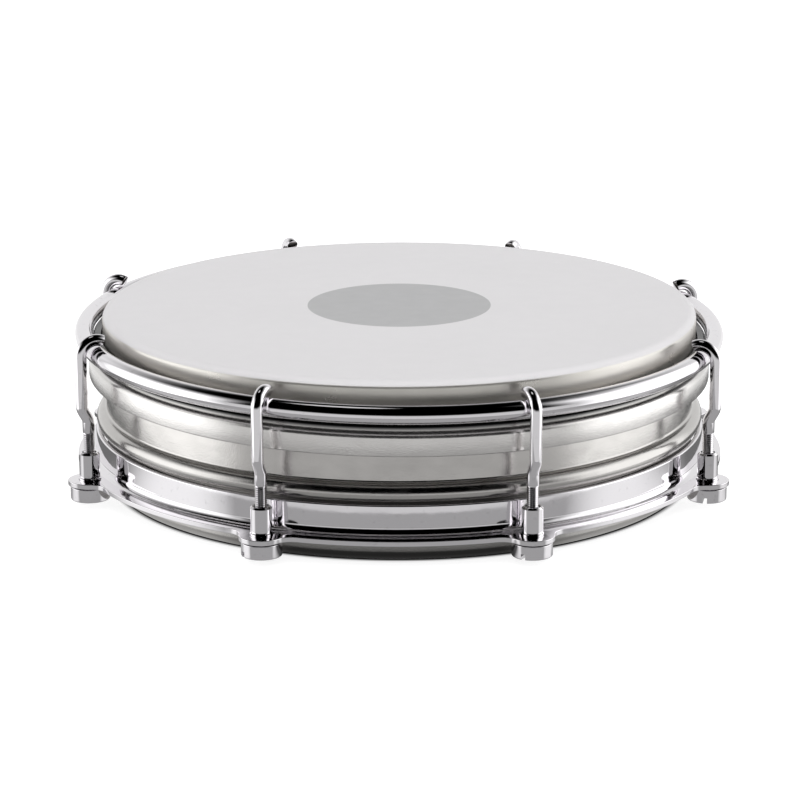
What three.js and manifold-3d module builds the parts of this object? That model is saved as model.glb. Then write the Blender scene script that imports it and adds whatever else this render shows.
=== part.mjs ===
// A small hand-held frame drum (tamborim type): a single film head on a shallow
// aluminium shell, tuned from below. Eight hooks pull the counter hoop down and, through
// slotted nuts, pull a floating ring up against a bead rolled into the shell.
//
// Millimetres, +Z up. The origin is the centre of the flat bottom rim; the front is -Y.

import * as THREE from 'three';
import Module from 'manifold-3d';
import { mergeVertices } from 'three/addons/utils/BufferGeometryUtils.js';

const wasm = await Module();
wasm.setup();

// Driving dimensions
const turnSteps = 48;                 // facets around every full ring
const headHeight = 44.8;              // playing surface above the resting plane
const shellRadius = 76.1;             // outside of the shell wall, a six inch drum
const shellWall = 1.2;
const rimRadius = 2.6;                // outside of the rolled bottom edge
const rimLip = 1.6;                   // flat width that the drum stands on
const filmThickness = 0.4;
const slipGap = 0.15;                 // between the film and the shell inside it
const crownRadius = 2.2;              // outside of the film's bend over the bearing edge
const collarLift = 1.5;               // from the flesh hoop's bottom up to the film's edge
const beadHeight = 17.2;              // centre of the rolled bead above the resting plane
const beadRadius = 2.5;

const lugCount = 8;
const lugCircle = 84.2;               // radius of the nut axes
const rodRadius = 2.35;               // counter hoop
const hoopCircle = 81.35;
const hoopHeight = headHeight - 5.8;
const hoopTilt = THREE.MathUtils.degToRad(0.98);     // the hoop is tuned a little out of level
const hoopLowSide = THREE.MathUtils.degToRad(-58.6); // direction of its lowest point from +X

const fleshInner = 77.1;
const fleshOuter = 80.3;
const fleshBottom = headHeight - 16.5;
const fleshShoulder = headHeight - 12.2;   // where the outer face starts to round over
const fleshWaist = 78.7;              // the narrow part above the shoulder
const waistTop = headHeight - 9.7;
const grooveRadius = 78;              // bottom of the groove above the waist
const grooveHeight = headHeight - 9;
const seatRadius = 79.25;             // the top flares out again to this, under the hoop's rod
const seatBottom = headHeight - 8.3;
const fleshTop = headHeight - 6.6;
const seatChamfer = 0.6;

const bandInner = 77.6;               // upright part of the floating ring
const bandOuter = 78.9;
const bandTop = 14.8;
const flangeBottom = 6.15;
const flangeThickness = 1.25;
const flangeRadius = 83.7;
const bendRadius = 1.9;               // inside bend between band and flange
const bendOverlap = 0.4;              // how far the flange plate reaches into the bend
const earRadius = 5.5;
const earFillet = 4;
const earHole = 2.85;

const hookRadius = 1.5;
const hookBend = 4.05;                // centre line of the bend over the counter hoop
const hookOffset = 0.35;              // bend centre outside the hoop rod's centre
const hookSweep = THREE.MathUtils.degToRad(115);
const jogTop = 25.8;                  // the shank steps inwards between these two heights
const jogBottom = 22.8;
const jogLead = 0.6;                  // straight length that each end of the step eases over
const jogSoftness = 0.1;              // share of the step that is taken at each end
const hookEnd = 7.3;

const nutBarrel = 2.6;
const nutTop = 14.5;
const nutHead = 4.95;
const nutHeadTop = 6;
const nutBottom = 2.3;
const nutBore = 1.8;
const nutBoreFloor = 4.3;
const nutChamfer = 0.4;
const slotWidth = 1.1;
const slotDepth = 1.5;
// How far each nut was turned when the tuning stopped, in degrees from +X, from lug 1 on.
const slotTurns = [128, 41, 66, 7, 14, 30, 62, 79];

// Materials
function metal(color, roughness) {
  return new THREE.MeshStandardMaterial({ color, roughness, metalness: 1 });
}
const chrome = () => metal(0xd4d6da, 0.08);
const satinAluminium = () => metal(0xc9c6c1, 0.32);
const coatedFilm = () => {
  return new THREE.MeshStandardMaterial({ color: 0xe2e1e2, roughness: 0.55, metalness: 0 });
};

// Outline helpers
function point(x, y) {
  return new THREE.Vector2(x, y);
}

function arc(centreX, centreY, radius, from, to, steps) {
  const points = [];
  for (let i = 0; i <= steps; i += 1) {
    const angle = from + ((to - from) * i) / steps;
    points.push(point(centreX + radius * Math.cos(angle), centreY + radius * Math.sin(angle)));
  }
  return points;
}

// A solid of revolution about Z. The outline is (radius, height), counter-clockwise.
function turned(outline, steps = turnSteps) {
  const lathe = new THREE.LatheGeometry(outline, steps);
  lathe.rotateX(Math.PI / 2);
  return lathe;
}

function ringTurned(outline) {
  return turned([...outline, outline[0]]);
}

// Boolean helpers
function toSolid(geometry) {
  const bare = geometry.clone();
  bare.deleteAttribute('normal');
  bare.deleteAttribute('uv');
  const merged = mergeVertices(bare);
  const mesh = new wasm.Mesh({
    numProp: 3,
    vertProperties: Float32Array.from(merged.attributes.position.array),
    triVerts: Uint32Array.from(merged.index.array),
  });
  return new wasm.Manifold(mesh);
}

function toGeometry(solid) {
  const mesh = solid.getMesh();
  const geometry = new THREE.BufferGeometry();
  geometry.setAttribute('position', new THREE.BufferAttribute(mesh.vertProperties, 3));
  geometry.setIndex(new THREE.BufferAttribute(mesh.triVerts, 1));
  geometry.computeVertexNormals();
  return geometry;
}

function named(name, geometry, material) {
  const mesh = new THREE.Mesh(geometry, material);
  mesh.name = name;
  return mesh;
}

// Shell: a thin wall with its top edge turned in under the head, a half-round bead
// rolled outwards, and a bottom edge rolled in to a flat lip.
function shellGeometry() {
  const filmRadius = shellRadius + slipGap + filmThickness;
  const crownCentre = point(filmRadius - crownRadius, headHeight - crownRadius);
  const topBend = shellRadius - crownCentre.x;
  const lipInner = crownCentre.x - rimLip;
  const rimCentre = shellRadius - rimRadius;
  const innerBead = beadRadius - shellWall;
  const innerReach = Math.acos(-shellWall / innerBead);
  const quarter = Math.PI / 2;
  return ringTurned([
    point(rimCentre - rimLip, 0),
    ...arc(rimCentre, rimRadius, rimRadius, -quarter, 0, 4),
    ...arc(shellRadius, beadHeight, beadRadius, -quarter, quarter, 8),
    ...arc(crownCentre.x, crownCentre.y, topBend, 0, quarter, 3),
    point(lipInner, crownCentre.y + topBend),
    point(lipInner, crownCentre.y + topBend - shellWall),
    ...arc(crownCentre.x, crownCentre.y, topBend - shellWall, quarter, 0, 1),
    ...arc(shellRadius, beadHeight, innerBead, innerReach, -innerReach, 5),
    ...arc(rimCentre, rimRadius, rimRadius - shellWall, 0, -quarter, 2),
    point(rimCentre - rimLip, shellWall),
  ]);
}

// Head: the film's flat playing surface, its bend over the bearing edge, and the collar
// that runs down into the flesh hoop.
function filmGeometry() {
  const outer = shellRadius + slipGap + filmThickness;
  const bendX = outer - crownRadius;
  const bendY = headHeight - crownRadius;
  const collarBottom = fleshBottom + collarLift;
  const quarter = Math.PI / 2;
  return turned([
    point(0, headHeight - filmThickness),
    ...arc(bendX, bendY, crownRadius - filmThickness, quarter, 0, 3),
    point(outer - filmThickness, collarBottom),
    point(outer, collarBottom),
    ...arc(bendX, bendY, crownRadius, 0, quarter, 4),
    point(0, headHeight),
  ]);
}

// Flesh hoop: the band that the film is bonded into. Its outer face rounds over to a
// waist. Above a groove the top flares out to a seat that the counter hoop's rod presses on.
// It is turned level, then set at the counter hoop's centre, as it tilts with it.
function fleshHoopGeometry() {
  const shoulder = fleshOuter - fleshWaist;
  const band = ringTurned([
    point(fleshInner, fleshBottom),
    point(fleshOuter, fleshBottom),
    ...arc(fleshWaist, fleshShoulder, shoulder, 0, Math.PI / 2, 4),
    point(fleshWaist, waistTop),
    point(grooveRadius, grooveHeight),
    point(seatRadius, seatBottom),
    point(seatRadius, fleshTop - seatChamfer),
    point(seatRadius - seatChamfer, fleshTop),
    point(fleshInner, fleshTop),
  ]);
  band.translate(0, 0, -hoopHeight);
  return band;
}

function counterHoopGeometry() {
  return new THREE.TorusGeometry(hoopCircle, rodRadius, 10, turnSteps);
}

// Floating ring: an upright band bent out into a flange, which carries one round ear
// for each nut. Each ear runs into the flange through two hollow fillets.
function earOutline(angle) {
  const filletCircle = flangeRadius + earFillet;
  const reach = earRadius + earFillet;
  const cosine = (filletCircle ** 2 + lugCircle ** 2 - reach ** 2) / (2 * filletCircle * lugCircle);
  const spread = Math.acos(cosine);
  const centre = point(lugCircle, 0);
  const fillet = point(filletCircle * Math.cos(spread), filletCircle * Math.sin(spread));
  const meet = Math.atan2(fillet.y, fillet.x - centre.x);
  const half = Math.PI;
  const outline = [
    ...arc(fillet.x, -fillet.y, earFillet, half - spread, half - meet, 3),
    ...arc(centre.x, 0, earRadius, -meet, meet, 10).slice(1),
    ...arc(fillet.x, fillet.y, earFillet, half + meet, half + spread, 3).slice(1),
  ];
  return { spread, points: outline.map((p) => p.rotateAround(point(0, 0), angle)) };
}

function flangeShape() {
  const outline = [];
  const step = (2 * Math.PI) / lugCount;
  for (let i = 0; i < lugCount; i += 1) {
    const angle = lugAngle(i);
    const ear = earOutline(angle);
    outline.push(...ear.points);
    const between = arc(0, 0, flangeRadius, angle + ear.spread, angle + step - ear.spread, 5);
    outline.push(...between.slice(1, -1));
  }
  const shape = new THREE.Shape(outline);
  const inside = bandOuter + bendRadius - bendOverlap;
  shape.holes.push(new THREE.Path(arc(0, 0, inside, 2 * Math.PI, 0, turnSteps).slice(1)));
  for (let i = 0; i < lugCount; i += 1) {
    const angle = lugAngle(i);
    const x = lugCircle * Math.cos(angle);
    const y = lugCircle * Math.sin(angle);
    shape.holes.push(new THREE.Path(arc(x, y, earHole, 2 * Math.PI, 0, 14).slice(1)));
  }
  return shape;
}

function tensionRingGeometry() {
  const flangeTop = flangeBottom + flangeThickness;
  const outerBend = bendRadius + bandOuter - bandInner;
  const quarter = Math.PI / 2;
  const band = ringTurned([
    ...arc(bandInner + outerBend, flangeBottom + outerBend, outerBend, 2 * quarter, 3 * quarter, 3),
    ...arc(bandOuter + bendRadius, flangeTop + bendRadius, bendRadius, 3 * quarter, 2 * quarter, 4),
    point(bandOuter, bandTop),
    point(bandInner, bandTop),
  ]);
  const plate = { depth: flangeThickness, bevelEnabled: false, steps: 1 };
  const flange = new THREE.ExtrudeGeometry(flangeShape(), plate);
  flange.translate(0, 0, flangeBottom);
  return toGeometry(toSolid(band).add(toSolid(flange)));
}

// Hook: a bent rod drawn in its own radial plane, x outwards from the drum's axis.
function hookPath() {
  const bendX = hoopCircle + hookOffset;
  const bend = arc(bendX, hoopHeight, hookBend, hookSweep, 0, 7);
  const shankX = bendX + hookBend;
  const jog = lugCircle - shankX;
  const points = [
    ...bend,
    point(shankX, (hoopHeight + jogTop) / 2),
    point(shankX, jogTop + jogLead),
    point(shankX + jogSoftness * jog, jogTop),
    point(lugCircle - jogSoftness * jog, jogBottom),
    point(lugCircle, jogBottom - jogLead),
    point(lugCircle, (jogBottom + hookEnd) / 2),
    point(lugCircle, hookEnd),
  ];
  const inSpace = points.map((p) => new THREE.Vector3(p.x, 0, p.y));
  return new THREE.CatmullRomCurve3(inSpace, false, 'centripetal');
}

function hookGeometry() {
  const section = new THREE.Shape(arc(0, 0, hookRadius, 0, 2 * Math.PI, 8).slice(1));
  return new THREE.ExtrudeGeometry(section, { steps: 24, bevelEnabled: false, extrudePath: hookPath() });
}

// Nut: a threaded barrel that stands up through the ear, on a slotted round head below it.
function nutGeometry() {
  const body = turned([
    point(0, nutBottom),
    point(nutHead - nutChamfer, nutBottom),
    point(nutHead, nutBottom + nutChamfer),
    point(nutHead, nutHeadTop),
    point(nutBarrel, nutHeadTop),
    point(nutBarrel, nutTop - nutChamfer),
    point(nutBarrel - nutChamfer, nutTop),
    point(nutBore, nutTop),
    point(nutBore, nutBoreFloor),
    point(0, nutBoreFloor),
  ], 14);
  const slot = new THREE.BoxGeometry(3 * nutHead, slotWidth, 2 * slotDepth);
  slot.translate(0, 0, nutBottom);
  return toGeometry(toSolid(body).subtract(toSolid(slot)));
}

// Lug 1 is half a step from +X; the rest follow counter-clockwise.
function lugAngle(index) {
  return ((index + 0.5) * 2 * Math.PI) / lugCount;
}

// Height of the tilted counter hoop above its middle, over the lug at this angle.
function hoopRise(angle) {
  return -Math.tan(hoopTilt) * hoopCircle * Math.cos(angle - hoopLowSide);
}

function hoops() {
  const group = new THREE.Group();
  group.position.z = hoopHeight;
  const tiltAxis = new THREE.Vector3(-Math.sin(hoopLowSide), Math.cos(hoopLowSide), 0);
  group.quaternion.setFromAxisAngle(tiltAxis, hoopTilt);
  group.add(named('flesh_hoop', fleshHoopGeometry(), satinAluminium()));
  group.add(named('counter_hoop', counterHoopGeometry(), chrome()));
  return group;
}

function lug(index) {
  const angle = lugAngle(index);
  const group = new THREE.Group();
  group.rotation.z = angle;
  const hook = named(`hook_${index + 1}`, hookGeometry(), chrome());
  hook.position.z = hoopRise(angle);
  const nut = named(`tension_nut_${index + 1}`, nutGeometry(), chrome());
  nut.position.x = lugCircle;
  nut.rotation.z = THREE.MathUtils.degToRad(slotTurns[index]) - angle;
  group.add(hook, nut);
  return group;
}

const drum = new THREE.Group();
drum.add(named('shell', shellGeometry(), satinAluminium()));
drum.add(named('head_film', filmGeometry(), coatedFilm()));
drum.add(hoops());
drum.add(named('tension_ring', tensionRingGeometry(), chrome()));
for (let index = 0; index < lugCount; index += 1) {
  drum.add(lug(index));
}

export default drum;
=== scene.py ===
import math

import bmesh
import bpy
from mathutils import Matrix, Vector


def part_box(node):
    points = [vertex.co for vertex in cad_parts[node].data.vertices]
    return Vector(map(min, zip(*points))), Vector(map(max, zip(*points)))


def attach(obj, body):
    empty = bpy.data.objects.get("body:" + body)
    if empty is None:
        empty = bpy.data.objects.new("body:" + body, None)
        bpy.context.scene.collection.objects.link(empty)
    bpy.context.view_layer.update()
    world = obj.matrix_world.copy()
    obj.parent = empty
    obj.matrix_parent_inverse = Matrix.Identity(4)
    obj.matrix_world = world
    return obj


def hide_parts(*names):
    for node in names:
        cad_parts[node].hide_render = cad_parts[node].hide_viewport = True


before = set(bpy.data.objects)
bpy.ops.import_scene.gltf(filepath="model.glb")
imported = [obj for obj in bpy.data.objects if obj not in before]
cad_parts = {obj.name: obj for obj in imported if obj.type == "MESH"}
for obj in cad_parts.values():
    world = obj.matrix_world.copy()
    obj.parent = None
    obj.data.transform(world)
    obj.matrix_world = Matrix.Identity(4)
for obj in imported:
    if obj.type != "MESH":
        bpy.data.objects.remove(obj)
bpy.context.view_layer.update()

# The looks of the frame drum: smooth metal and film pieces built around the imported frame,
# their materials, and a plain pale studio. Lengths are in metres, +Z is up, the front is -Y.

MM = 0.001
INSET = 0.02 * MM            # how far the pieces stay inside the frame's box
TURN_STEPS = 240             # facets around a full ring
SHARP = math.radians(32)     # edges that bend more than this stay crisp

# Sizes that the frame gives
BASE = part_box("shell")[0].z
HEAD_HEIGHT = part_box("head_film")[1].z
FILM_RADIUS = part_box("head_film")[1].x
FLANGE_BOTTOM, BAND_TOP = (corner.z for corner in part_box("tension_ring"))
HOOP_MIDDLE = sum(corner.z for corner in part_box("counter_hoop")) / 2
HOOP_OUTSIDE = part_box("counter_hoop")[1].x - INSET
LUG_COUNT = 8

# Sizes that the frame's boxes don't give
SHELL_RADIUS = 76.1 * MM
SHELL_WALL = 1.2 * MM
RIM_RADIUS = 2.6 * MM
RIM_LIP = 1.6 * MM
BEAD_HEIGHT = 17.2 * MM
BEAD_RADIUS = 2.5 * MM
BEAD_FILLET = 0.6 * MM
FILM_THICKNESS = 0.4 * MM
CROWN_RADIUS = 2.2 * MM
COLLAR_LIFT = 1.5 * MM       # from the flesh hoop's bottom up to the film's edge
SPOT_RADIUS = 23.7 * MM      # plain grey spot in the middle of the head
COAT_RADIUS = 76.5 * MM      # the white coating ends here, part way round the bend
COAT_EDGE = 0.05 * MM
ROD_RADIUS = 2.35 * MM
FLESH_INNER = 77.1 * MM
FLESH_OUTER = 80.3 * MM
FLESH_BOTTOM = HEAD_HEIGHT - 16.5 * MM
FLESH_SHOULDER = HEAD_HEIGHT - 12.2 * MM
FLESH_WAIST = 78.7 * MM
WAIST_TOP = HEAD_HEIGHT - 9.7 * MM
WAIST_SHADE = 1.1 * MM       # height over which the painted shade under the rod fades out down the waist
GROOVE_RADIUS = 78 * MM
GROOVE_HEIGHT = HEAD_HEIGHT - 9 * MM
SEAT_RADIUS = 79.25 * MM
SEAT_BOTTOM = HEAD_HEIGHT - 8.3 * MM
SEAT_EDGE = 0.6 * MM
FLESH_TOP = HEAD_HEIGHT - 6.6 * MM
FLESH_EDGE = 0.35 * MM
BAND_INNER = 77.6 * MM
BAND_OUTER = 78.9 * MM
BAND_EDGE = 0.35 * MM
FLANGE_THICKNESS = 1.25 * MM
FLANGE_RADIUS = 83.68 * MM
FLANGE_EDGE = 0.15 * MM
BEND_RADIUS = 1.9 * MM
EAR_RADIUS = 5.5 * MM
EAR_FILLET = 4 * MM
EAR_HOLE = 2.85 * MM
HOOK_RADIUS = 1.5 * MM
HOOK_BEND = 4.05 * MM
HOOK_OFFSET = 0.35 * MM
HOOK_SWEEP = 115             # degrees
TIP_EDGE = 0.15 * MM
JOG_TOP = 26.3 * MM
JOG_BOTTOM = 22.3 * MM
THREAD_TOP = 19.8 * MM
THREAD_PITCH = 0.5 * MM
THREAD_DEPTH = 0.26 * MM
THREAD_RINGS = 10            # rings of points in each pitch
NUT_BARREL = 2.6 * MM
NUT_HEAD = 4.95 * MM
NUT_HEAD_TOP = 5.75 * MM
NUT_BORE = 1.8 * MM
NUT_BORE_FLOOR = 4.3 * MM
NUT_CHAMFER = 0.45 * MM
NUT_COLLAR = 2.78 * MM
NUT_COLLAR_TOP = 7.9 * MM
NUT_STEP = 0.15 * MM         # height of the slope from the collar in to the barrel
NUT_EDGE = 0.35 * MM
SLOT_WIDTH = 1.1 * MM
SLOT_DEPTH = 1.5 * MM
SLOT_TURNS = (128, 41, 66, 7, 14, 30, 62, 79)    # degrees from +X, lug 1 first


# Mesh building

def arc(x, y, radius, start, end, steps):
    """Points along a circle, from one angle to another in degrees."""
    points = []
    for i in range(steps + 1):
        angle = math.radians(start + (end - start) * i / steps)
        points.append((x + radius * math.cos(angle), y + radius * math.sin(angle)))
    return points


def finish_mesh(obj):
    """Turns the faces outwards and shades them smooth, apart from the crisp edges."""
    mesh = obj.data
    work = bmesh.new()
    work.from_mesh(mesh)
    bmesh.ops.recalc_face_normals(work, faces=work.faces)
    work.to_mesh(mesh)
    work.free()
    mesh.shade_smooth()
    mesh.set_sharp_from_angle(angle=SHARP)
    return obj


def skin(name, rings, closed=False):
    """A mesh through rings of points. The ends are capped, or closed joins the last to the first."""
    count = len(rings[0])
    faces = []
    for i in range(len(rings) if closed else len(rings) - 1):
        here = i * count
        there = (i + 1) % len(rings) * count
        for j in range(count):
            k = (j + 1) % count
            faces.append((here + j, here + k, there + k, there + j))
    if not closed:
        faces.append(tuple(reversed(range(count))))
        faces.append(tuple(range((len(rings) - 1) * count, len(rings) * count)))
    mesh = bpy.data.meshes.new(name)
    mesh.from_pydata([p for ring in rings for p in ring], [], faces)
    obj = bpy.data.objects.new(name, mesh)
    bpy.context.scene.collection.objects.link(obj)
    return finish_mesh(obj)


def turn(name, outline, closed=False, steps=TURN_STEPS):
    """A solid of revolution about Z, from an outline of (radius, height) points."""
    rings = []
    for radius, height in outline:
        rings.append([(x, y, height) for x, y in arc(0, 0, radius, 0, 360, steps)[:-1]])
    return skin(name, rings, closed)


def cut(obj, tool):
    """Takes the tool's shape away from obj, and removes the tool."""
    subtract = obj.modifiers.new("cut", "BOOLEAN")
    subtract.object = tool
    subtract.solver = "EXACT"
    graph = bpy.context.evaluated_depsgraph_get()
    done = bpy.data.meshes.new_from_object(obj.evaluated_get(graph))
    obj.modifiers.clear()
    obj.data = done
    bpy.data.objects.remove(tool)
    return finish_mesh(obj)


def joined(tools, name):
    """One mesh from several, for a single cut."""
    work = bmesh.new()
    for tool in tools:
        work.from_mesh(tool.data)
        bpy.data.objects.remove(tool)
    mesh = bpy.data.meshes.new(name)
    work.to_mesh(mesh)
    work.free()
    obj = bpy.data.objects.new(name, mesh)
    bpy.context.scene.collection.objects.link(obj)
    return obj


def place(obj, body, slot, look, *nodes):
    """Gives a piece its material, its body and the nodes that it stands for."""
    obj.data.materials.clear()
    obj.data.materials.append(look)
    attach(obj, body)
    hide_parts(*nodes)


# Where the lugs are, and how the hoop leans

def lug_places():
    """The axis of each lug, from its nut."""
    places = []
    for i in range(LUG_COUNT):
        low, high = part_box(f"tension_nut_{i + 1}")
        places.append((low + high) / 2)
    return places


def hoop_lean(places):
    """The slope of the hoop along X and Y, from the heights of the hooks that sit on it."""
    tops = [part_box(f"hook_{i + 1}")[1].z for i in range(LUG_COUNT)]
    reach = sum(p.x * p.x for p in places)
    slope_x = sum(p.x * top for p, top in zip(places, tops)) / reach
    slope_y = sum(p.y * top for p, top in zip(places, tops)) / reach
    return slope_x, slope_y


LUGS = lug_places()
LUG_CIRCLE = math.hypot(LUGS[0].x, LUGS[0].y)
SLOPE_X, SLOPE_Y = hoop_lean(LUGS)
HOOP_CIRCLE = HOOP_OUTSIDE - ROD_RADIUS


def lean(obj):
    """Tilts a piece made about the hoop's middle, and lifts it there."""
    normal = Vector((-SLOPE_X, -SLOPE_Y, 1)).normalized()
    turn_over = Vector((0, 0, 1)).rotation_difference(normal).to_matrix().to_4x4()
    obj.data.transform(Matrix.Translation((0, 0, HOOP_MIDDLE)) @ turn_over)


# Pieces

def make_shell():
    """Thin wall with its top turned in, a half-round bead and a bottom edge rolled to a lip."""
    crown_x = FILM_RADIUS - CROWN_RADIUS
    crown_z = HEAD_HEIGHT - CROWN_RADIUS
    top_bend = SHELL_RADIUS - crown_x
    lip_inner = crown_x - RIM_LIP
    rim_x = SHELL_RADIUS - RIM_RADIUS
    rim_z = BASE + RIM_RADIUS
    fillet_rise = math.sqrt((BEAD_RADIUS + BEAD_FILLET) ** 2 - BEAD_FILLET ** 2)
    spread = math.degrees(math.atan2(fillet_rise, BEAD_FILLET))
    inner_bead = BEAD_RADIUS - SHELL_WALL
    inner_spread = math.degrees(math.acos(-SHELL_WALL / inner_bead))
    fillet_x = SHELL_RADIUS + BEAD_FILLET
    return turn("spun_shell", [
        (rim_x - RIM_LIP, BASE),
        *arc(rim_x, rim_z, RIM_RADIUS, -90, 0, 12),
        *arc(fillet_x, BEAD_HEIGHT - fillet_rise, BEAD_FILLET, 180, 180 - spread, 6),
        *arc(SHELL_RADIUS, BEAD_HEIGHT, BEAD_RADIUS, -spread, spread, 24)[1:-1],
        *arc(fillet_x, BEAD_HEIGHT + fillet_rise, BEAD_FILLET, 180 + spread, 180, 6),
        *arc(crown_x, crown_z, top_bend, 0, 90, 8),
        (lip_inner, crown_z + top_bend),
        (lip_inner, crown_z + top_bend - SHELL_WALL),
        *arc(crown_x, crown_z, top_bend - SHELL_WALL, 90, 0, 4),
        *arc(SHELL_RADIUS, BEAD_HEIGHT, inner_bead, inner_spread, -inner_spread, 16),
        *arc(rim_x, rim_z, RIM_RADIUS - SHELL_WALL, 0, -90, 8),
        (rim_x - RIM_LIP, BASE + SHELL_WALL),
    ], closed=True)


def make_film():
    """Flat playing surface, its bend over the bearing edge, and the collar below."""
    crown_x = FILM_RADIUS - CROWN_RADIUS
    crown_z = HEAD_HEIGHT - CROWN_RADIUS
    collar_bottom = FLESH_BOTTOM + COLLAR_LIFT
    flat = crown_x * 0.98
    return turn("drum_film", [
        (flat, HEAD_HEIGHT - FILM_THICKNESS),
        *arc(crown_x, crown_z, CROWN_RADIUS - FILM_THICKNESS, 90, 0, 8),
        (FILM_RADIUS - FILM_THICKNESS, collar_bottom),
        (FILM_RADIUS, collar_bottom),
        *arc(crown_x, crown_z, CROWN_RADIUS, 0, 90, 12),
        (flat, HEAD_HEIGHT),
    ])


def make_flesh_hoop():
    """Band with a rounded shoulder, a waist, and a flared seat that the counter hoop presses on."""
    outline = [
        (FLESH_INNER, FLESH_BOTTOM),
        *arc(FLESH_OUTER - FLESH_EDGE, FLESH_BOTTOM + FLESH_EDGE, FLESH_EDGE, -90, 0, 5),
        *arc(FLESH_WAIST, FLESH_SHOULDER, FLESH_OUTER - FLESH_WAIST, 0, 90, 16),
        (FLESH_WAIST, WAIST_TOP),
        (GROOVE_RADIUS, GROOVE_HEIGHT),
        (SEAT_RADIUS, SEAT_BOTTOM),
        (SEAT_RADIUS, FLESH_TOP - SEAT_EDGE),
        (SEAT_RADIUS - SEAT_EDGE, FLESH_TOP),
        (FLESH_INNER, FLESH_TOP),
    ]
    centred = [(radius, height - HOOP_MIDDLE) for radius, height in outline]
    obj = turn("flesh_band", centred, closed=True)
    lean(obj)
    return obj


def make_counter_hoop():
    """Round rod bent into a ring."""
    obj = turn("hoop_rod", arc(HOOP_CIRCLE, 0, ROD_RADIUS, 0, 360, 40)[:-1], closed=True)
    lean(obj)
    return obj


def ear_side(angle):
    """The ring's outline round one ear, as (point, outward normal) pairs."""
    fillet_circle = FLANGE_RADIUS + EAR_FILLET
    reach = EAR_RADIUS + EAR_FILLET
    share = (fillet_circle ** 2 + LUG_CIRCLE ** 2 - reach ** 2) / (2 * fillet_circle * LUG_CIRCLE)
    spread = math.degrees(math.acos(share))
    fillet = Vector(arc(0, 0, fillet_circle, spread, spread, 1)[0])
    meet = math.degrees(math.atan2(fillet.y, fillet.x - LUG_CIRCLE))
    pairs = []
    for way in arc(0, 0, 1, 180 - spread, 180 - meet, 8):
        out = Vector(way)
        pairs.append((Vector((fillet.x, -fillet.y)) + EAR_FILLET * out, -out))
    for way in arc(0, 0, 1, -meet, meet, 28)[1:]:
        out = Vector(way)
        pairs.append((Vector((LUG_CIRCLE, 0)) + EAR_RADIUS * out, out))
    for way in arc(0, 0, 1, 180 + meet, 180 + spread, 8)[1:]:
        out = Vector(way)
        pairs.append((fillet + EAR_FILLET * out, -out))
    spin = Matrix.Rotation(math.radians(angle), 2)
    return spread, [(spin @ point, spin @ normal) for point, normal in pairs]


def flange_outline():
    """The whole outline of the flange with its ears, as (point, outward normal) pairs."""
    pairs = []
    pitch = 360 / LUG_COUNT
    for lug in LUGS:
        angle = math.degrees(math.atan2(lug.y, lug.x))
        spread, ear = ear_side(angle)
        pairs += ear
        between = arc(0, 0, 1, angle + spread, angle + pitch - spread, 24)[1:-1]
        pairs += [(FLANGE_RADIUS * Vector(p), Vector(p)) for p in between]
    return pairs


def make_tension_ring():
    """Upright band bent out into a flange with eight drilled ears, every edge rounded."""
    flange_top = FLANGE_BOTTOM + FLANGE_THICKNESS
    outer_bend = BEND_RADIUS + BAND_OUTER - BAND_INNER
    outline = flange_outline()
    round_part = [
        *arc(BAND_INNER + outer_bend, FLANGE_BOTTOM + outer_bend, outer_bend, 270, 180, 12),
        *arc(BAND_INNER + BAND_EDGE, BAND_TOP - BAND_EDGE, BAND_EDGE, 180, 90, 5),
        *arc(BAND_OUTER - BAND_EDGE, BAND_TOP - BAND_EDGE, BAND_EDGE, 90, 0, 5),
        *arc(BAND_OUTER + BEND_RADIUS, flange_top + BEND_RADIUS, BEND_RADIUS, 180, 270, 12),
    ]
    edge_part = [
        *arc(-FLANGE_EDGE, flange_top - FLANGE_EDGE, FLANGE_EDGE, 90, 0, 5),
        *arc(-FLANGE_EDGE, FLANGE_BOTTOM + FLANGE_EDGE, FLANGE_EDGE, 0, -90, 5),
    ]
    rings = []
    for radius, height in round_part:
        ring = [radius * point.normalized() for point, normal in outline]
        rings.append([(p.x, p.y, height) for p in ring])
    for outset, height in edge_part:
        ring = [point + outset * normal for point, normal in outline]
        rings.append([(p.x, p.y, height) for p in ring])
    obj = skin("floating_ring", rings, closed=True)
    holes = []
    for lug in LUGS:
        sides = [(EAR_HOLE, FLANGE_BOTTOM - MM), (EAR_HOLE, flange_top + MM)]
        hole = turn("hole", sides, steps=48)
        hole.data.transform(Matrix.Translation((lug.x, lug.y, 0)))
        holes.append(hole)
    return cut(obj, joined(holes, "holes"))


def hook_line(top, bottom):
    """The middle line of a hook in its own plane, as (outwards, up, threaded) points."""
    bend_x = HOOP_CIRCLE + HOOK_OFFSET
    bend_z = top - HOOK_BEND - HOOK_RADIUS
    shank_x = bend_x + HOOK_BEND
    line = [(x, z, False) for x, z in arc(bend_x, bend_z, HOOK_BEND, HOOK_SWEEP, 0, 36)]
    steps = 16
    for i in range(steps + 1):
        t = i / steps
        ease = t * t * (3 - 2 * t)
        x = shank_x + (LUG_CIRCLE - shank_x) * ease
        line.append((x, JOG_TOP + (JOG_BOTTOM - JOG_TOP) * t, False))
    count = round((THREAD_TOP - bottom) / THREAD_PITCH * THREAD_RINGS)
    for i in range(count + 1):
        line.append((LUG_CIRCLE, THREAD_TOP + (bottom - THREAD_TOP) * i / count, True))
    return line


def thread_radius(height, angle):
    """The threaded end's radius, which rises and falls once each pitch."""
    phase = (height / THREAD_PITCH - angle / (2 * math.pi)) % 1
    ridge = 1 - abs(2 * phase - 1)
    runout = min(1, (THREAD_TOP - height) / THREAD_PITCH)
    return HOOK_RADIUS - THREAD_DEPTH * runout * (1 - ridge)


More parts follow.
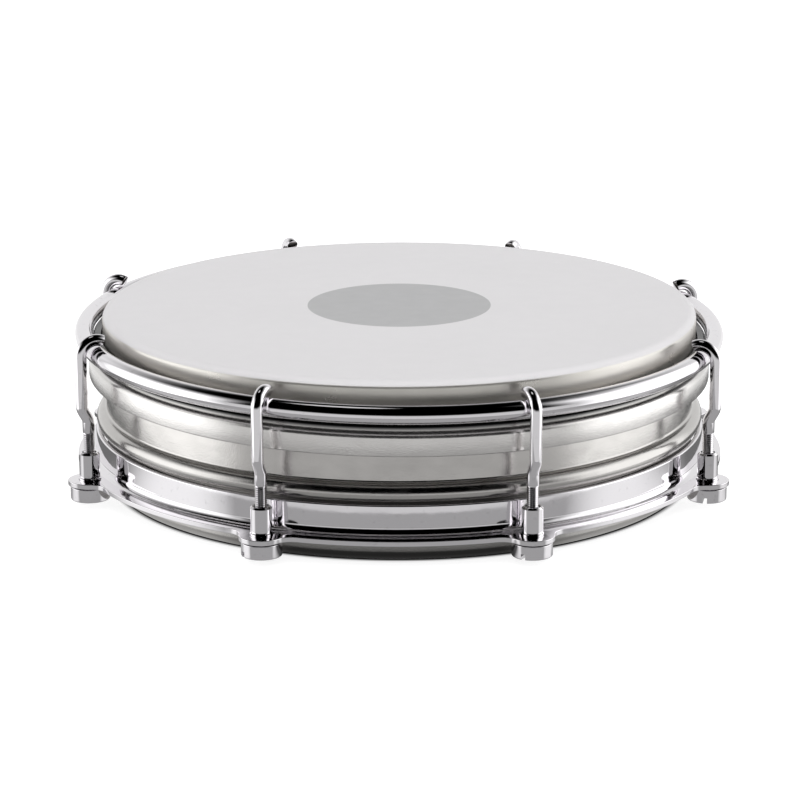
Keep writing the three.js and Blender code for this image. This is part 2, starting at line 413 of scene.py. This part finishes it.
def make_hook(index):
    """Bent rod with a flat-cut tip, a jog in its shank and a threaded end."""
    low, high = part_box(f"hook_{index + 1}")
    line = hook_line(high.z - INSET, low.z)
    sides = 24
    rings = []
    for i, (x, z, threaded) in enumerate(line):
        before = line[max(i - 1, 0)]
        after = line[min(i + 1, len(line) - 1)]
        along = Vector((after[0] - before[0], 0, after[1] - before[1])).normalized()
        across = Vector((0, 1, 0))
        outwards = across.cross(along)
        ring = []
        for j in range(sides):
            angle = 2 * math.pi * j / sides
            radius = thread_radius(z, angle) if threaded else HOOK_RADIUS
            side = outwards * math.cos(angle) + across * math.sin(angle)
            ring.append(Vector((x, 0, z)) + radius * side)
        rings.append(ring)
    # The tip's cut end is a little narrower than the rod, so that its edge catches the light.
    tip = line[0]
    start = Vector((tip[0], 0, tip[1]))
    rings.insert(0, [start + (p - start) * (1 - TIP_EDGE / HOOK_RADIUS) for p in rings[0]])
    forwards = (rings[2][0] - rings[1][0]).normalized() * TIP_EDGE
    rings[1] = [p + forwards * 0.6 for p in rings[1]]
    obj = skin(f"bent_hook_{index + 1}", rings)
    lug = LUGS[index]
    obj.data.transform(Matrix.Rotation(math.atan2(lug.y, lug.x), 4, "Z"))
    return obj


def make_nut(index):
    """Threaded barrel on a slotted round head."""
    low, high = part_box(f"tension_nut_{index + 1}")
    bottom = low.z
    top = high.z
    obj = turn(f"barrel_nut_{index + 1}", [
        (NUT_HEAD * 0.9 - NUT_EDGE, bottom),
        *arc(NUT_HEAD - NUT_EDGE, bottom + NUT_EDGE, NUT_EDGE, -90, 0, 6),
        *arc(NUT_HEAD - NUT_EDGE / 2, NUT_HEAD_TOP - NUT_EDGE / 2, NUT_EDGE / 2, 0, 90, 6),
        (NUT_COLLAR, NUT_HEAD_TOP),
        (NUT_COLLAR, NUT_COLLAR_TOP),
        (NUT_BARREL, NUT_COLLAR_TOP + NUT_STEP),
        (NUT_BARREL, top - NUT_CHAMFER),
        (NUT_BARREL - NUT_CHAMFER, top),
        (NUT_BORE, top),
        (NUT_BORE, NUT_BORE_FLOOR),
    ], steps=64)
    long = 3 * NUT_HEAD
    half = SLOT_WIDTH / 2
    corners = [(-long, -half), (long, -half), (long, half), (-long, half)]
    levels = (bottom - MM, bottom + SLOT_DEPTH)
    cut(obj, skin("slot", [[(x, y, z) for x, y in corners] for z in levels]))
    lug = LUGS[index]
    spin = Matrix.Rotation(math.radians(SLOT_TURNS[index]), 4, "Z")
    obj.data.transform(Matrix.Translation((lug.x, lug.y, 0)) @ spin)
    return obj


# Materials

class Look:
    """A Principled material and short ways to wire its nodes."""

    def __init__(self, name, color, metallic, roughness):
        self.material = bpy.data.materials.new(name)
        self.material.use_nodes = True
        self.nodes = self.material.node_tree.nodes
        self.links = self.material.node_tree.links
        self.shader = self.nodes["Principled BSDF"]
        self.shader.inputs["Base Color"].default_value = (*color, 1)
        self.shader.inputs["Metallic"].default_value = metallic
        self.shader.inputs["Roughness"].default_value = roughness
        self.place = self.nodes.new("ShaderNodeTexCoord").outputs["Object"]

    def node(self, kind, **settings):
        made = self.nodes.new(kind)
        for key, value in settings.items():
            setattr(made, key, value)
        return made

    def noise(self, scale, detail=3, stretch=(1, 1, 1)):
        """Noise of this many cycles a metre, stretched along X, Y and Z."""
        mapping = self.node("ShaderNodeMapping")
        mapping.inputs["Scale"].default_value = stretch
        self.links.new(self.place, mapping.inputs["Vector"])
        made = self.node("ShaderNodeTexNoise")
        made.inputs["Scale"].default_value = scale
        made.inputs["Detail"].default_value = detail
        self.links.new(mapping.outputs["Vector"], made.inputs["Vector"])
        return made.outputs["Fac"]

    def spread(self, value, low, high, to_low, to_high):
        """The value between low and high, as a value between two others."""
        made = self.node("ShaderNodeMapRange")
        made.inputs["From Min"].default_value = low
        made.inputs["From Max"].default_value = high
        made.inputs["To Min"].default_value = to_low
        made.inputs["To Max"].default_value = to_high
        self.links.new(value, made.inputs["Value"])
        return made.outputs["Result"]

    def mix(self, factor, first, second):
        """One colour or the other, by a factor of 0 to 1."""
        made = self.node("ShaderNodeMix", data_type="RGBA")
        self.links.new(factor, made.inputs["Factor"])
        for key, value in ((6, first), (7, second)):
            if isinstance(value, tuple):
                made.inputs[key].default_value = (*value, 1)
            else:
                self.links.new(value, made.inputs[key])
        return made.outputs[2]

    def blend(self, factor, first, second):
        """One value or the other, by a factor of 0 to 1."""
        made = self.node("ShaderNodeMix", data_type="FLOAT")
        for key, value in ((0, factor), (2, first), (3, second)):
            self.links.new(value, made.inputs[key])
        return made.outputs[0]

    def set(self, socket, value):
        self.links.new(value, self.shader.inputs[socket])

    def bump(self, height, distance, before=None):
        """Bumps of this height in metres, on top of any made before."""
        made = self.node("ShaderNodeBump")
        made.inputs["Distance"].default_value = distance
        self.links.new(height, made.inputs["Height"])
        if before:
            self.links.new(before, made.inputs["Normal"])
        return made.outputs["Normal"]


def chrome_look(name, color):
    """Polished plate with faint waves, wipe marks and dull specks."""
    look = Look(name, color, 1, 0.06)
    wipe = look.noise(90, 4)
    look.set("Roughness", look.spread(wipe, 0.35, 0.75, 0.03, 0.11))
    dull = look.noise(700, 3)
    look.set("Base Color", look.mix(
        look.spread(dull, 0.62, 0.8, 0, 1), color, tuple(0.86 * c for c in color)))
    waves = look.bump(look.noise(120, 2), 0.00003)
    look.set("Normal", look.bump(look.noise(1600, 2), 0.0000012, waves))
    return look.material


def satin_look(name, color, metallic, roughness, waist=None):
    """Fine blasted metal: a sparkling grain and smears. A waist given as (low, high) gets painted
    shade: its colour goes near black towards the top, as under the counter hoop.
    """
    look = Look(name, color, metallic, roughness)
    tone = look.spread(look.noise(45, 4, (1, 1, 2.5)), 0.3, 0.7, 0, 1)
    tinted = look.mix(tone, color, tuple(0.93 * c for c in color))
    if waist:
        upright = look.node("ShaderNodeVectorMath", operation="DOT_PRODUCT")
        upright.inputs[1].default_value = (-SLOPE_X, -SLOPE_Y, 1)
        look.links.new(look.place, upright.inputs[0])
        shaded = look.spread(upright.outputs["Value"], *waist, 0, 1)
        # Painted shade: the colour is mixed to near black where the rod shades the waist.
        tinted = look.mix(shaded, tinted, (0.04, 0.04, 0.04))
    look.set("Base Color", tinted)
    smear = look.noise(160, 5, (1, 1, 2))
    look.set("Roughness", look.spread(smear, 0.3, 0.75, roughness - 0.05, roughness + 0.07))
    grain = look.bump(look.noise(2600, 3), 0.00002)
    look.set("Normal", look.bump(look.noise(260, 3), 0.00002, grain))
    return look.material


def film_look():
    """White coating on the film's flat, a plain grey spot in its middle, and a bare silvery collar."""
    white = (0.73, 0.718, 0.73)
    grey = (0.45, 0.45, 0.455)
    silver = (0.66, 0.64, 0.60)
    look = Look("coated_film", white, 0, 0.5)
    length = look.node("ShaderNodeVectorMath", operation="LENGTH")
    flat = look.node("ShaderNodeVectorMath", operation="MULTIPLY")
    flat.inputs[1].default_value = (1, 1, 0)
    look.links.new(look.place, flat.inputs[0])
    look.links.new(flat.outputs["Vector"], length.inputs[0])
    radius = length.outputs["Value"]
    spot = look.spread(radius, SPOT_RADIUS - COAT_EDGE, SPOT_RADIUS + COAT_EDGE, 1, 0)
    bare = look.spread(radius, COAT_RADIUS - COAT_EDGE, COAT_RADIUS + COAT_EDGE, 0, 1)
    tone = look.spread(look.noise(30, 4), 0.3, 0.7, 0, 1)
    cloud = look.mix(tone, white, tuple(0.985 * c for c in white))
    look.set("Base Color", look.mix(bare, look.mix(spot, cloud, grey), silver))
    look.set("Metallic", look.spread(bare, 0, 1, 0, 0.85))
    coat_gloss = look.spread(look.noise(200, 4), 0.3, 0.7, 0.45, 0.58)
    collar_gloss = look.spread(look.noise(120, 4), 0.3, 0.7, 0.26, 0.34)
    look.set("Roughness", look.blend(bare, coat_gloss, collar_gloss))
    look.shader.inputs["Specular IOR Level"].default_value = 0.3
    look.set("Normal", look.bump(look.noise(1100, 2), 0.000003))
    return look.material


# Build every piece

def build_drum():
    chrome = (0.88, 0.862, 0.885)
    satin = (0.78, 0.765, 0.748)
    spun = (0.60, 0.585, 0.567)
    # Painted shade on the flesh hoop's waist: darkest just under the rod, fading out over WAIST_SHADE
    # below.
    painted_shade_top = WAIST_TOP - 0.1 * MM
    waist = (painted_shade_top - WAIST_SHADE, painted_shade_top)
    place(make_shell(), "shell", "shell", satin_look("satin_shell", spun, 1, 0.2), "shell")
    place(make_film(), "shell", "film", film_look(), "head_film")
    hoop_look = satin_look("satin_hoop", satin, 0.95, 0.2, waist)
    place(make_flesh_hoop(), "hoop", "flesh_hoop", hoop_look, "flesh_hoop")
    rod_look = chrome_look("chrome_hoop", chrome)
    place(make_counter_hoop(), "hoop", "counter_hoop", rod_look, "counter_hoop")
    ring_look = chrome_look("chrome_ring", chrome)
    place(make_tension_ring(), "shell", "tension_ring", ring_look, "tension_ring")
    hook_look = chrome_look("chrome_hook", chrome)
    nut_look = chrome_look("chrome_nut", chrome)
    for i in range(LUG_COUNT):
        place(make_hook(i), f"hook_{i + 1}", "hook", hook_look, f"hook_{i + 1}")
        place(make_nut(i), f"tension_nut_{i + 1}", "nut", nut_look, f"tension_nut_{i + 1}")


build_drum()


# Studio

def make_camera():
    """Camera at a low angle from the front, aimed a little below the head."""
    distance = 0.8047
    azimuth = math.radians(0.48)
    elevation = math.radians(13.61)
    pitch = math.radians(15.37)
    yaw = math.radians(0.467)
    roll = math.radians(-0.106)
    data = bpy.data.cameras.new("camera")
    data.sensor_width = 36
    data.lens = 139.8
    camera = bpy.data.objects.new("camera", data)
    flat = distance * math.cos(elevation)
    camera.location = (
        flat * math.sin(azimuth),
        -flat * math.cos(azimuth),
        HEAD_HEIGHT + distance * math.sin(elevation),
    )
    aim = Matrix.Rotation(yaw, 3, "Z") @ Matrix.Rotation(math.pi / 2 - pitch, 3, "X")
    camera.rotation_euler = (aim @ Matrix.Rotation(roll, 3, "Z")).to_euler()
    bpy.context.scene.collection.objects.link(camera)
    bpy.context.scene.camera = camera


def square(name, half, height):
    """A level square sheet about the origin."""
    corners = [(x, y, height) for x, y in ((-half, -half), (half, -half), (half, half), (-half, half))]
    mesh = bpy.data.meshes.new(name)
    mesh.from_pydata(corners, [], [(0, 1, 2, 3)])
    sheet = bpy.data.objects.new(name, mesh)
    bpy.context.scene.collection.objects.link(sheet)
    return sheet


def make_floor():
    """Pale floor, wide enough for every view. Its glow keeps shadows faint; under the shell it is
    painted near black with no glow, a painted contact shadow.
    """
    grey = (0.5, 0.5, 0.5)
    painted_shadow_black = (0.03, 0.03, 0.03)
    glow = 0.85
    floor = square("floor", 12, 0)
    pale = Look("pale_floor", grey, 0, 0.9)
    pale.shader.inputs["Specular IOR Level"].default_value = 0
    pale.shader.inputs["Emission Color"].default_value = (1, 1, 1, 1)
    radius = pale.node("ShaderNodeVectorMath", operation="LENGTH")
    pale.links.new(pale.place, radius.inputs[0])
    # Painted contact shadow: inside the shell's rim the floor's colour goes near black and its glow
    # goes out.
    under = SHELL_RADIUS - 1.4 * MM
    clear = pale.spread(radius.outputs["Value"], under, SHELL_RADIUS + 0.2 * MM, 0, 1)
    pale.set("Base Color", pale.mix(clear, painted_shadow_black, grey))
    pale.set("Emission Strength", pale.spread(clear, 0, 1, 0, glow))
    floor.data.materials.append(pale.material)
    floor.visible_glossy = False


def sine(degrees):
    return math.sin(math.radians(degrees))


def cosine(degrees):
    return math.cos(math.radians(degrees))


def calculate(tree, operation, first, second=0):
    """One calculation on two values. Either can be a plain number."""
    made = tree.nodes.new("ShaderNodeMath")
    made.operation = operation
    for i, value in enumerate((first, second)):
        if isinstance(value, (int, float)):
            made.inputs[i].default_value = value
        else:
            tree.links.new(value, made.inputs[i])
    return made.outputs["Value"]


def vector_part(tree, operation, vector, other=(0, 0, 0)):
    """A vector calculation with a plain vector."""
    made = tree.nodes.new("ShaderNodeVectorMath")
    made.operation = operation
    made.inputs[1].default_value = other
    tree.links.new(vector, made.inputs[0])
    return made


def step(tree, value, start, end):
    """Rises smoothly from 0 at the start to 1 at the end."""
    made = tree.nodes.new("ShaderNodeMapRange")
    made.interpolation_type = "SMOOTHSTEP"
    made.inputs["From Min"].default_value = start
    made.inputs["From Max"].default_value = end
    tree.links.new(value, made.inputs["Value"])
    return made.outputs["Result"]


def soft_box(tree, heading, rise, angle, half_width, top, brightness):
    """A bright wall at this angle from the front. Its sides, top and foot fade out, in degrees."""
    edge = 18
    foot = -20
    facing = (sine(angle), -cosine(angle), 0)
    near = vector_part(tree, "DOT_PRODUCT", heading, facing).outputs["Value"]
    across = step(tree, near, cosine(half_width + edge), cosine(half_width - edge))
    under = step(tree, rise, sine(top + edge), sine(top - edge))
    over = step(tree, rise, sine(foot - edge), sine(foot))
    lit = calculate(tree, "MULTIPLY", calculate(tree, "MULTIPLY", across, under), over)
    return calculate(tree, "MULTIPLY", lit, brightness)


def make_surroundings():
    """Dark room with a grey table, a small lamp overhead, and soft boxes left, right and behind."""
    table_grey = 0.63
    more_behind = 0.3
    lamp_brightness = 0.7
    world = bpy.data.worlds.new("studio")
    world.use_nodes = True
    bpy.context.scene.world = world
    tree = world.node_tree
    place_in_sky = tree.nodes.new("ShaderNodeTexCoord").outputs["Generated"]
    unit = vector_part(tree, "NORMALIZE", place_in_sky).outputs["Vector"]
    split = tree.nodes.new("ShaderNodeSeparateXYZ")
    tree.links.new(unit, split.inputs["Vector"])
    rise = split.outputs["Z"]
    flat = vector_part(tree, "MULTIPLY", unit, (1, 1, 0)).outputs["Vector"]
    heading = vector_part(tree, "NORMALIZE", flat).outputs["Vector"]
    table = step(tree, rise, sine(10), sine(-3))
    back = vector_part(tree, "DOT_PRODUCT", heading, (0, 1, 0)).outputs["Value"]
    brighter_behind = calculate(tree, "MULTIPLY", step(tree, back, -0.1, 0.3), more_behind)
    grey = calculate(tree, "ADD", brighter_behind, table_grey)
    light = calculate(tree, "MULTIPLY", table, grey)
    lamp = Vector((-0.15, 0.12, 0.98)).normalized()
    overhead = vector_part(tree, "DOT_PRODUCT", unit, lamp).outputs["Value"]
    spot = step(tree, overhead, cosine(10), cosine(6))
    light = calculate(tree, "MAXIMUM", light, calculate(tree, "MULTIPLY", spot, lamp_brightness))
    left = soft_box(tree, heading, rise, angle=-94, half_width=24, top=32, brightness=1.7)
    right = soft_box(tree, heading, rise, angle=102, half_width=32, top=48, brightness=1.6)
    behind = soft_box(tree, heading, rise, angle=180, half_width=60, top=40, brightness=0.85)
    for box in (left, right, behind):
        light = calculate(tree, "MAXIMUM", light, box)
    tree.links.new(light, tree.nodes["Background"].inputs["Color"])


def make_shade():
    """The drum's shade on the table, seen only in reflections: it dims what lies beyond it."""
    shade = square("table_shade", 0.25, 0.2 * MM)
    material = bpy.data.materials.new("table_shade")
    material.use_nodes = True
    tree = material.node_tree
    tree.nodes.clear()
    middle = tree.nodes.new("ShaderNodeTexCoord").outputs["Object"]
    radius = vector_part(tree, "LENGTH", middle).outputs["Value"]
    split = tree.nodes.new("ShaderNodeSeparateXYZ")
    tree.links.new(middle, split.inputs["Vector"])
    # Within 136 mm of the middle the table keeps 0.58 of its light, and less behind the drum.
    behind = calculate(tree, "MULTIPLY", step(tree, split.outputs["Y"], -0.05, 0.01), 0.4)
    outside = step(tree, radius, 0.136, 0.156)
    near = calculate(tree, "SUBTRACT", 0.58, behind)
    beyond = calculate(tree, "MAXIMUM", near, outside)
    # Close to the shell's foot it is darker still, in front and behind but not at the sides.
    aside = step(tree, calculate(tree, "ABSOLUTE", split.outputs["X"]), 0.025, 0.05)
    least = calculate(tree, "ADD", calculate(tree, "MULTIPLY", aside, 0.9), 0.08)
    foot = calculate(tree, "MAXIMUM", step(tree, radius, 0.077, 0.089), least)
    clear = tree.nodes.new("ShaderNodeBsdfTransparent")
    tree.links.new(calculate(tree, "MULTIPLY", beyond, foot), clear.inputs["Color"])
    out = tree.nodes.new("ShaderNodeOutputMaterial")
    tree.links.new(clear.outputs["BSDF"], out.inputs["Surface"])
    shade.data.materials.append(material)
    shade.visible_camera = False
    shade.visible_diffuse = False
    shade.visible_shadow = False
    shade.visible_transmission = False


def make_sun():
    """Very wide sun from the front and above, kept out of the reflections."""
    data = bpy.data.lights.new("overhead", "SUN")
    data.energy = 2.4
    data.angle = math.radians(80)
    sun = bpy.data.objects.new("overhead", data)
    sun.location = (0, -0.5, 1)
    sun.rotation_euler = sun.location.to_track_quat("Z", "Y").to_euler()
    sun.visible_glossy = False
    bpy.context.scene.collection.objects.link(sun)


make_camera()
make_floor()
make_surroundings()
make_shade()
make_sun()
bpy.context.scene.view_settings.view_transform = "Standard"
